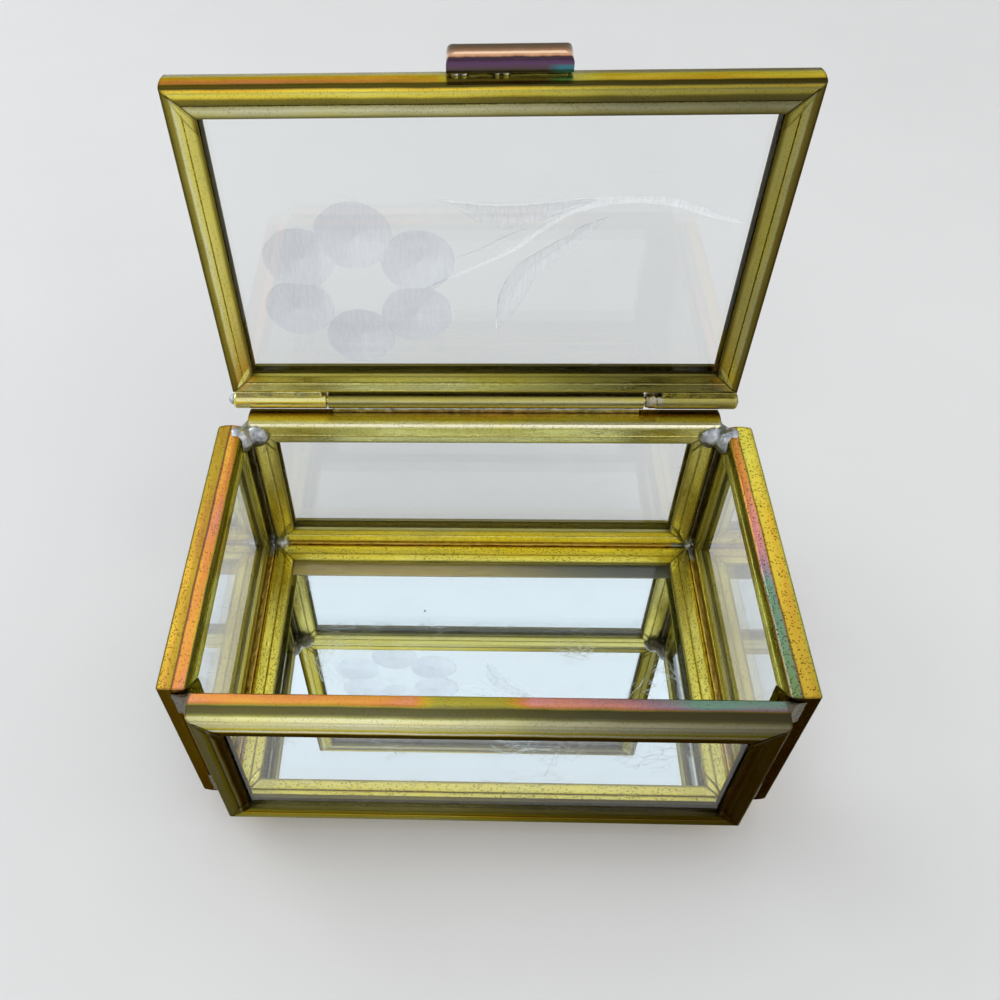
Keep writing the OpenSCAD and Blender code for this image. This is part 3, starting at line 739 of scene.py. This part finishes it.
# The uprights' tones are painted shade and painted dark reflection, darkest on the front's uprights
# and on the front ends of the side walls
brass_for = {
    "base_frame": strip_brass("brass_floor", PANELS["base_frame"], FLOOR_BANDS, spread=0.16,
                              pits=1.0),
    "front_frame": strip_brass("brass_front", PANELS["front_frame"], FRONT_BANDS, FRONT_LOW_BANDS,
                               run=FRONT_RUN, uprights=(0.14, 0.01), spread=0.20, pits=0.3),
    "back_frame": strip_brass("brass_back", PANELS["back_frame"], BACK_BANDS, spread=0.16),
    "left_frame": strip_brass("brass_left", PANELS["left_frame"], LEFT_BANDS, run=LEFT_RUN,
                              uprights=(0.20, 1.0), spread=0.20, pits=0.7),
    "right_frame": strip_brass("brass_right", PANELS["right_frame"], RIGHT_BANDS, run=RIGHT_RUN,
                               uprights=(0.0, 1.0), spread=0.16, pits=1.0),
    "lid_frame": strip_brass("brass_lid", PANELS["lid_frame"], LID_BANDS, LID_LOW_BANDS,
                             LID_SIDE_BANDS, LID_RUN, uprights=(0.9, 0.35), spread=0.18, pits=0.3),
    "hinge_barrel": tube_brass("brass_barrel", 0.08, 0.20, BARREL_BANDS),
    "hinge_knuckle_left": tube_brass("brass_knuckle_left", 0.16, 0.12, LEFT_TUBE_BANDS),
    "hinge_knuckle_right": tube_brass("brass_knuckle_right", 0.22, 0.35, RIGHT_TUBE_BANDS,
                                      solder_end=RIGHT_KNUCKLE_X + 0.7),
    "hinge_pin": tube_brass("brass_pin", 0.20, 0.3),
    "lift_tab": tab_brass(),
}
DARK_STAIN, GOLD_STAIN = (0.10, 0.08, 0.04), (0.66, 0.46, 0.07)
BRASSY_STAIN = (0.36, 0.30, 0.12)
joint_solder = solder_finish("joint_solder", 0.98, DARK_STAIN, clean_ends=True)
floor_solder = solder_finish("floor_solder", 0.92, GOLD_STAIN, clean_ends=True)
bright_solder = solder_finish("bright_solder", 0.35, DARK_STAIN)
worn_solder = solder_finish("worn_solder", 0.68, BRASSY_STAIN)
GLASS_SHADE = (0.88, 0.90, 0.90)
pane_glass = clear_glass("pane_glass", (0.955, 0.97, 0.97), 0.35, GLASS_SHADE)
mirror_glass = clear_glass("mirror_glass", (0.97, 0.985, 0.985), 0.12, GLASS_SHADE)
silver = mirror_silver()
ground_deep = ground_glass("ground_deep", (0.78, 0.79, 0.83), (0.85, 0.86, 0.90), 0.80, 0.90)
ground_light = ground_glass("ground_light", (0.80, 0.81, 0.85), (0.86, 0.87, 0.90), 0.42, 0.50)
ground_bright = ground_glass("ground_bright", (0.96, 0.97, 1.0), (1.0, 1.0, 1.0), 0.75, 0.85)


def solder_for(name):
    """The finish of a solder piece. On the knuckles it has taken the colour of the brass."""
    if name.startswith("knuckle_"):
        return brass_for["hinge_" + name.replace("solder_", "")]
    if name.startswith("base_"):
        return floor_solder
    return joint_solder if name.startswith("corner_") else bright_solder


for name, node in cad_nodes.items():
    paint = brass_for.get(name) or (pane_glass if name.endswith("_glass") else solder_for(name))
    for index in range(len(node.data.materials)):
        node.data.materials[index] = paint


# ---------------------------------------------------------------------- pieces
def finish_mesh(name, shape):
    """A mesh of the shape, with its faces turned outwards."""
    bmesh.ops.recalc_face_normals(shape, faces=shape.faces)
    mesh = bpy.data.meshes.new(name)
    shape.to_mesh(mesh)
    shape.free()
    return mesh


def join_rings(shape, rings):
    """Joins matching rings of vertices, each to the next. The ends stay open."""
    count = len(rings[0])
    for first, second in zip(rings, rings[1:]):
        for i in range(count):
            after = (i + 1) % count
            shape.faces.new((first[i], first[after], second[after], second[i]))


def close_ends(shape, rings):
    """Closes the last and the first of the rings."""
    shape.faces.new(rings[-1])
    shape.faces.new(reversed(rings[0]))


def add_piece(name, mesh, body, paint, smooth=True):
    """Adds a piece that rides a body and counts to a material slot."""
    mesh.materials.clear()
    mesh.materials.append(paint)
    for face in mesh.polygons:
        face.use_smooth = smooth
    made = bpy.data.objects.new(name, mesh)
    bpy.context.scene.collection.objects.link(made)
    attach(made, body)
    return made


def slab_mesh(name, low, high, bevel):
    """A slab between two corners, with its edges ground off by bevel."""
    shape = bmesh.new()
    bmesh.ops.create_cube(shape, size=1.0)
    for vertex in shape.verts:
        vertex.co = Vector([low[i] + (vertex.co[i] + 0.5) * (high[i] - low[i]) for i in range(3)])
    bmesh.ops.bevel(shape, geom=shape.edges[:], offset=bevel, segments=2, affect="EDGES")
    return finish_mesh(name, shape)


SILVER_T = 0.05 * MM
SILVER_GAP = 0.02 * MM
GLASS_BEVEL, SILVER_BEVEL = 0.1 * MM, 0.01 * MM


def dress_mirror():
    """The floor mirror as its glass, and the silver under it."""
    low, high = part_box("base_mirror")
    split = low.z + SILVER_T
    foot = Vector((low.x, low.y, split + SILVER_GAP))
    glass = add_piece("mirror_pane", slab_mesh("mirror_pane", foot, high, GLASS_BEVEL),
                      "box", mirror_glass, smooth=False)
    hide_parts("base_mirror")
    top = Vector((high.x, high.y, split))
    add_piece("mirror_silvering", slab_mesh("mirror_silvering", low, top, SILVER_BEVEL),
              "box", silver, smooth=False)


SOLDER_VOXEL = 0.11 * MM
SOLDER_RISE = 0.10 * MM
SOLDER_WAVE = 0.9 * MM


def dress_solder(node_name, body):
    """A solder piece with the runs and dimples that solder sets in."""
    copy = bpy.data.objects.new("solder_source", cad_nodes[node_name].data.copy())
    bpy.context.scene.collection.objects.link(copy)
    remesh = copy.modifiers.new("even_faces", "REMESH")
    remesh.mode = "VOXEL"
    remesh.voxel_size = SOLDER_VOXEL
    ready = copy.evaluated_get(bpy.context.evaluated_depsgraph_get())
    mesh = bpy.data.meshes.new_from_object(ready)
    bpy.data.objects.remove(copy)
    normals = [vertex.normal.copy() for vertex in mesh.vertices]
    for vertex, normal in zip(mesh.vertices, normals):
        broad = noise.noise(vertex.co / SOLDER_WAVE)
        fine = noise.noise(vertex.co / (SOLDER_WAVE * 0.35))
        vertex.co += normal * SOLDER_RISE * (0.8 * broad + 0.35 * fine)
    mesh.name = "set_" + node_name
    made = add_piece("set_" + node_name, mesh, body, solder_for(node_name))
    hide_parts(node_name)


PLUG_R = 0.95
PLUG_INSET = 0.1
PLUG_DOWN = 0.25
PLUG_UNEVEN, PLUG_WAVE = 0.16, 0.6 * MM


def dress_corner_plugs():
    """Solder that has run into the point where the floor and two walls meet."""
    for name, sx, sy in (("front_left", -1, -1), ("front_right", 1, -1), ("back_left", -1, 1),
                         ("back_right", 1, 1)):
        shape = bmesh.new()
        bmesh.ops.create_icosphere(shape, subdivisions=4, radius=PLUG_R * MM)
        middle = metres(sx * (FRONT_HALF_W + PLUG_INSET), sy * (SIDE_HALF_L + PLUG_INSET),
                        STRIP_T - PLUG_DOWN)
        for vertex in shape.verts:
            uneven = noise.noise(vertex.co / PLUG_WAVE + Vector((sx, sy, 0.0)))
            vertex.co *= 1.0 + PLUG_UNEVEN * uneven
            vertex.co += middle
        piece = "solder_plug_" + name
        add_piece(piece, finish_mesh(piece, shape), "box", joint_solder)


COLLAR_RINGS, COLLAR_POINTS = 22, 40
COLLAR_LONG = 1.7
COLLAR_R = 1.24
COLLAR_LAP = 0.1
COLLAR_PATCH, COLLAR_TURN_PATCH = 2.4, 2.2


def dress_pin_collar():
    """The rough collar of solder on the pin at the left end of the right knuckle."""
    shape = bmesh.new()
    rows = []
    for step in range(COLLAR_RINGS + 1):
        share = step / COLLAR_RINGS
        x = RIGHT_KNUCKLE_X + COLLAR_LAP - COLLAR_LONG * (1 - share)
        swell = 0.7 + 0.3 * min(1.0, share * 3)
        row = []
        for point in range(COLLAR_POINTS):
            turn = 2 * math.pi * point / COLLAR_POINTS
            across, up = math.cos(turn), math.sin(turn)
            rough = noise.noise(Vector((x * COLLAR_PATCH, across * COLLAR_TURN_PATCH,
                                        up * COLLAR_TURN_PATCH)))
            reach = PIN_R + (COLLAR_R - PIN_R) * swell * (0.88 + 0.3 * rough)
            spot = metres(x, HINGE_Y + reach * across, HINGE_Z + reach * up)
            row.append(shape.verts.new(spot))
        rows.append(row)
    join_rings(shape, rows)
    shape.faces.new(rows[0])
    shape.faces.new(rows[-1])
    add_piece("pin_collar", finish_mesh("pin_collar", shape), "lid", worn_solder)


# ---------------------------------------------------------- the flower on the lid
CUT_FACE_Y = LID_MID_Y + GLASS_T / 2
CUT_T = 0.03
CUT_GAP = 0.004
# Middles of the six ground petals on the lid: from the left, and up from its rear edge
PETALS = ((-16.5, 25.4), (-23.6, 22.0), (-8.5, 21.5), (-24.5, 14.1), (-8.9, 13.0), (-16.7, 9.2))
PETAL_SIZES = (4.95, 4.6, 4.7, 4.6, 4.65, 4.6)
STEM = ((-8.2, 16.9), (-4.6, 18.9), (-1.0, 20.8), (3.4, 23.3), (6.2, 25.8), (9.9, 28.6),
        (14.4, 30.1), (19.1, 30.4), (23.4, 29.7), (27.4, 28.2), (32.0, 26.8))
UPPER_LEAF_TOP = ((-5.9, 30.6), (-2.5, 29.9), (1.3, 29.6), (6.0, 29.8), (10.7, 30.4), (13.9, 30.6))
UPPER_LEAF_LOW = ((-5.9, 30.6), (-3.2, 29.0), (-0.6, 27.2), (2.8, 26.5), (7.1, 27.7), (13.9, 30.6))
LOWER_LEAF_TOP = ((14.9, 28.1), (11.9, 26.8), (9.2, 24.8), (6.4, 22.8), (4.0, 20.9), (2.5, 18.1),
                  (1.8, 15.2), (1.7, 10.2))
LOWER_LEAF_LOW = ((14.9, 28.1), (13.0, 25.7), (10.3, 22.8), (7.6, 20.2), (6.1, 18.1), (5.1, 15.6),
                  (3.4, 12.4), (1.7, 10.2))
LEAF_EDGE = 0.28
FINE_CUT = ((-4.1, 21.9), (-0.6, 23.4), (2.8, 25.4), (5.0, 26.4))


def on_lid(x, up, out=0.0):
    """A point on the outer face of the lid's pane, out from it by out."""
    return metres(x, CUT_FACE_Y + CUT_GAP + out, LID_LOW_Z + up)


def cut_mesh(name, rings):
    """A thin ground patch from matching rings of points, the outer ring first. Its flat back lies
    on the glass, and its face stands off by CUT_T."""
    shape = bmesh.new()
    rows = []
    for index, ring in enumerate(rings):
        out = CUT_T * min(1.0, index / 2)
        rows.append([shape.verts.new(on_lid(x, up, out)) for x, up in ring])
    join_rings(shape, rows)
    close_ends(shape, rows)
    return finish_mesh(name, shape)


PETAL_POINTS = 72
PETAL_RAGGED = 0.05
PETAL_SEAM = 0.02
PETAL_RINGS = (1.0, 0.985, 0.96, 0.7, 0.4, 0.1)


def petal_reach(index, turn):
    """How far a petal reaches in a direction, up to the line where it meets its neighbour."""
    middle, size = PETALS[index], PETAL_SIZES[index]
    way = (math.cos(turn), math.sin(turn))
    reach = size + PETAL_RAGGED * noise.noise(Vector((way[0], way[1], index * 3.1)) * 2)
    for other, other_size in zip(PETALS, PETAL_SIZES):
        gap = (other[0] - middle[0], other[1] - middle[1])
        apart = math.hypot(*gap)
        if 0 < apart < size + other_size:
            facing = (gap[0] * way[0] + gap[1] * way[1]) / apart
            if facing > 0:
                meet = (apart ** 2 + size ** 2 - other_size ** 2) / (2 * apart) - PETAL_SEAM
                reach = min(reach, meet / facing)
    return reach


def ground_petal(index):
    """One round wheel cut with a slightly ragged rim."""
    middle = PETALS[index]
    turns = [2 * math.pi * step / PETAL_POINTS for step in range(PETAL_POINTS)]
    rings = [[(middle[0] + share * petal_reach(index, turn) * math.cos(turn),
               middle[1] + share * petal_reach(index, turn) * math.sin(turn)) for turn in turns]
             for share in PETAL_RINGS]
    name = f"ground_petal_{index}"
    add_piece(name, cut_mesh(name, rings), "lid", ground_deep)


def smooth_line(points, steps=8):
    """A curve through the points, as a finer list of points."""
    line = [points[0], *points, points[-1]]
    found = []
    for a, b, c, d in zip(line, line[1:], line[2:], line[3:]):
        for step in range(steps):
            t = step / steps
            found.append(tuple(
                0.5 * (2 * b[k] + (c[k] - a[k]) * t
                       + (2 * a[k] - 5 * b[k] + 4 * c[k] - d[k]) * t * t
                       + (3 * b[k] - a[k] - 3 * c[k] + d[k]) * t ** 3) for k in (0, 1)))
    found.append(points[-1])
    return found


RIBBON_ROWS = (0.0, 0.12, 0.5, 0.88, 1.0)
SAME_POINT = 1e-7


def ribbon_mesh(name, top, low):
    """A thin ground patch between two lines that share their ends."""
    shape = bmesh.new()
    rows = []
    for share in RIBBON_ROWS:
        out = CUT_T * (1.0 if 0 < share < 1 else 0.0)
        line = [(t[0] + (l[0] - t[0]) * share, t[1] + (l[1] - t[1]) * share)
                for t, l in zip(top, low)]
        rows.append([shape.verts.new(on_lid(x, up, out)) for x, up in line])
    for upper, lower in zip(rows, rows[1:] + rows[:1]):
        for i in range(len(upper) - 1):
            shape.faces.new((upper[i], upper[i + 1], lower[i + 1], lower[i]))
    bmesh.ops.remove_doubles(shape, verts=shape.verts, dist=SAME_POINT)
    return finish_mesh(name, shape)


LINE_THINNEST = 0.06
LINE_SWELL = 0.7


def ground_line(name, points, width, paint, grow=0.5, fall=0.5):
    """A long wheel cut that widens over the first share of its length, grow, and narrows over the
    last, fall."""
    line = smooth_line(points)
    last = len(line) - 1
    top, low = [], []
    for index, (x, up) in enumerate(line):
        after, before = line[min(index + 1, last)], line[max(index - 1, 0)]
        run = Vector((after[0] - before[0], after[1] - before[1])).normalized()
        share = index / last
        swell = min(1.0, share / grow) ** LINE_SWELL * min(1.0, (1.0 - share) / fall) ** LINE_SWELL
        half = 0.5 * width * max(LINE_THINNEST, swell)
        top.append((x - run.y * half, up + run.x * half))
        low.append((x + run.y * half, up - run.x * half))
    add_piece(name, ribbon_mesh(name, top, low), "lid", paint)


LEAF_STEPS = 40


def leaf_side(points):
    """A smooth line through the points, with as many steps as the leaf's other side."""
    line = smooth_line(points)
    last = len(line) - 1
    return [line[round(step * last / LEAF_STEPS)] for step in range(LEAF_STEPS + 1)]


def ground_leaf(name, top, low):
    """A ground leaf between its upper and its lower side."""
    add_piece(name, ribbon_mesh(name, leaf_side(top), leaf_side(low)), "lid", ground_light)


def dress_lid_flower():
    """The flower: six round petals, a stem, a fine line and two leaves."""
    for index in range(len(PETALS)):
        ground_petal(index)
    ground_line("ground_stem", STEM, 1.1, ground_bright, grow=0.6, fall=0.12)
    ground_line("ground_fine_line", FINE_CUT, 0.3, ground_deep)
    ground_leaf("ground_leaf_upper", UPPER_LEAF_TOP, UPPER_LEAF_LOW)
    ground_leaf("ground_leaf_lower", LOWER_LEAF_TOP, LOWER_LEAF_LOW)
    edge = [(x, up + LEAF_EDGE / 2) for x, up in UPPER_LEAF_TOP]
    ground_line("ground_leaf_edge", edge, LEAF_EDGE, ground_bright)


FOLD_RISE = 0.11
FOLD_EDGE = 0.05
FOLD_SUNK = 0.03
FOLD_UNEVEN = 0.06
# How much of the outline is left, and how far out it lies, for each ring of a fold
FOLD_RINGS = ((1.0, -FOLD_SUNK), (1.0, FOLD_EDGE), (0.93, FOLD_RISE))
# Outline of a fold, from the two outer edges of the strip: along the mitre, down the lip, and back
# along the curved edge of the lap
FOLD_LINE = ((0.75, 0.75), (1.7, 1.7), (2.7, 2.7), (3.58, 3.58))
FOLD_CURVE = ((3.58, 5.5), (3.15, 5.05), (2.6, 4.3), (2.0, 3.3), (1.4, 2.1), (0.75, 0.75))


def dress_folds(frame_name, order, middle, half_w, half_h, body, sides):
    """The laps of the bent strip at the four corners of a panel, on the faces on these sides."""
    shape = bmesh.new()
    outline = list(FOLD_LINE) + smooth_line(FOLD_CURVE, 4)[:-1]
    centre = [sum(point[k] for point in outline) / len(outline) for k in (0, 1)]
    for sx, sy, side in ((x, y, z) for x in (-1, 1) for y in (-1, 1) for z in sides):
        rings = []
        for shrink, rise in FOLD_RINGS:
            ring = []
            for a, b in outline:
                a, b = (centre[0] + (a - centre[0]) * shrink, centre[1] + (b - centre[1]) * shrink)
                wave = FOLD_UNEVEN * noise.noise(Vector((a, b, sx + 2.3 * sy + 5.1 * side)))
                spot = [0.0, 0.0, 0.0]
                spot[order[0]] = middle[order[0]] + sx * (half_w - a - wave)
                spot[order[1]] = middle[order[1]] + sy * (half_h - b - wave)
                spot[order[2]] = middle[order[2]] + side * (STRIP_T / 2 + rise)
                ring.append(shape.verts.new(metres(*spot)))
            rings.append(ring)
        join_rings(shape, rings)
        close_ends(shape, rings)
    piece = "folds_" + frame_name
    add_piece(piece, finish_mesh(piece, shape), body, brass_for[frame_name])


def dress_all_folds():
    """Laps on both faces of each panel, but not on the floor's underside, which is the foot."""
    for frame_name, panel in PANELS.items():
        sides = (1,) if frame_name == "base_frame" else (-1, 1)
        dress_folds(frame_name, *panel, "lid" if frame_name == "lid_frame" else "box", sides)


dress_mirror()
dress_all_folds()
dress_corner_plugs()
dress_pin_collar()
for body, members in frame["record"]["behaviour"]["bodies"].items():
    for member in members:
        if "solder" in member:
            dress_solder(member, body)
dress_lid_flower()


# ------------------------------------------------------------ floor, light, camera
FLOOR_COLOURS = (0.74, 0.735, 0.73), (0.80, 0.795, 0.79)
FLOOR_ROUGH = 0.65
FLOOR_HALF, FLOOR_BEND, BACKDROP_H, BEND_STEPS = 1.2, 0.35, 1.0, 12


def floor_finish():
    """Pale, matt and faintly clouded."""
    made, tree, shader = new_material("pale_floor")
    place = object_place(tree)
    speckle = cloud(tree, place, 0.02, 4.0)
    feed(tree, shader, Base_Color=tint(tree, speckle, *FLOOR_COLOURS), Roughness=FLOOR_ROUGH)
    return made


def add_floor():
    """A pale floor that turns up into a backdrop."""
    shape = bmesh.new()
    bend_y = FLOOR_HALF - FLOOR_BEND
    profile = [(-FLOOR_HALF, 0.0), (bend_y, 0.0)]
    for step in range(1, BEND_STEPS + 1):
        turn = math.pi / 2 * step / BEND_STEPS
        profile.append((bend_y + FLOOR_BEND * math.sin(turn), FLOOR_BEND * (1 - math.cos(turn))))
    profile.append((FLOOR_HALF, BACKDROP_H))
    left = [shape.verts.new((-FLOOR_HALF * 1.5, y, z)) for y, z in profile]
    right = [shape.verts.new((FLOOR_HALF * 1.5, y, z)) for y, z in profile]
    for i in range(len(profile) - 1):
        shape.faces.new((left[i], right[i], right[i + 1], left[i + 1]))
    mesh = bpy.data.meshes.new("pale_floor")
    shape.to_mesh(mesh)
    shape.free()
    for face in mesh.polygons:
        face.use_smooth = True
    mesh.materials.append(floor_finish())
    made = bpy.data.objects.new("pale_floor", mesh)
    bpy.context.scene.collection.objects.link(made)


def add_lamp(name, place, aim, size, power, colour):
    """A soft rectangular lamp that points at aim."""
    lamp = bpy.data.lights.new(name, "AREA")
    lamp.shape = "RECTANGLE"
    lamp.size, lamp.size_y = size
    lamp.energy = power
    lamp.color = colour
    made = bpy.data.objects.new(name, lamp)
    made.location = place
    made.rotation_euler = (Vector(aim) - Vector(place)).to_track_quat("-Z", "Y").to_euler()
    bpy.context.scene.collection.objects.link(made)


# The room's colours from below to above, and its two windows: way, edge, full and colour
ROOM_COLOURS = (
    (0.45, (0.44, 0.43, 0.42)),
    (0.60, (0.42, 0.42, 0.42)),
    (0.80, (0.58, 0.59, 0.61)),
    (1.00, (0.36, 0.36, 0.37)))
WINDOWS = (((-0.15, 0.62, 0.78), 0.60, 0.84, (1.0, 1.06, 1.12)),
           ((0.05, -0.74, 0.67), 0.74, 0.92, (1.02, 1.0, 0.97)))
ROOM_STRENGTH = 0.95
BOX_MIDDLE = (0, 0, 0.02)


def add_light():
    """A dim room with a broad bright window behind the box, a smaller one behind the viewer, and
    two soft lamps."""
    world = bpy.data.worlds.new("studio")
    bpy.context.scene.world = world
    world.use_nodes = True
    tree = world.node_tree
    tree.nodes.clear()
    way = tree.nodes.new("ShaderNodeTexCoord").outputs["Generated"]
    up = put(tree, "ShaderNodeSeparateXYZ", None, Vector=way).outputs[2]
    sky = colour_scale(tree, plus(tree, mult(tree, up, 0.5), 0.5), ROOM_COLOURS)
    for aim, edge, full, colour in WINDOWS:
        towards = put(tree, "ShaderNodeVectorMath", {"operation": "DOT_PRODUCT"}, Vector=way)
        towards.inputs[1].default_value = Vector(aim).normalized()
        sky = tint(tree, fade(tree, towards.outputs["Value"], edge, full), sky, colour)
    shader = put(tree, "ShaderNodeBackground", None, Color=sky, Strength=ROOM_STRENGTH)
    end = tree.nodes.new("ShaderNodeOutputWorld")
    tree.links.new(shader.outputs[0], end.inputs["Surface"])
    add_lamp("window", (-0.56, 0.20, 0.40), BOX_MIDDLE, (0.60, 0.50), 1.7, (0.95, 0.98, 1.0))
    add_lamp("fill", (0.42, -0.20, 0.34), BOX_MIDDLE, (0.50, 0.50), 0.8, (1.0, 0.98, 0.95))


CAMERA_AT = (-1.93687, -74.07593, 131.24890)
CAMERA_PITCH, CAMERA_YAW, CAMERA_ROLL = 0.84185, 0.05677, 0.03812
FOCAL_PX, MIDDLE_X, MIDDLE_Y, FRAME_PX = 966.593, 432.107, 459.296, 1000.0
SENSOR_MM = 36.0
NEAR_CUT, FAR_CUT = 0.005, 10.0


def add_camera():
    """The camera, set by the corners of the box in the photograph."""
    sin_p, cos_p = math.sin(CAMERA_PITCH), math.cos(CAMERA_PITCH)
    ahead_flat = Vector((-math.sin(CAMERA_YAW), math.cos(CAMERA_YAW), 0))
    level = Vector((math.cos(CAMERA_YAW), math.sin(CAMERA_YAW), 0))
    ahead = cos_p * ahead_flat - Vector((0, 0, sin_p))
    up = sin_p * ahead_flat + Vector((0, 0, cos_p))
    sin_r, cos_r = math.sin(CAMERA_ROLL), math.cos(CAMERA_ROLL)
    right, top = cos_r * level - sin_r * up, sin_r * level + cos_r * up
    camera = bpy.data.cameras.new("camera")
    camera.sensor_width = SENSOR_MM
    camera.lens = FOCAL_PX * SENSOR_MM / FRAME_PX
    camera.shift_x = (FRAME_PX / 2 - MIDDLE_X) / FRAME_PX
    camera.shift_y = (MIDDLE_Y - FRAME_PX / 2) / FRAME_PX
    camera.clip_start, camera.clip_end = NEAR_CUT, FAR_CUT
    made = bpy.data.objects.new("camera", camera)
    turn = Matrix((right, top, -ahead)).transposed().to_4x4()
    made.matrix_world = Matrix.Translation(metres(*CAMERA_AT)) @ turn
    bpy.context.scene.collection.objects.link(made)
    bpy.context.scene.camera = made


add_floor()
add_light()
add_camera()
bpy.context.scene.view_settings.view_transform = "Standard"
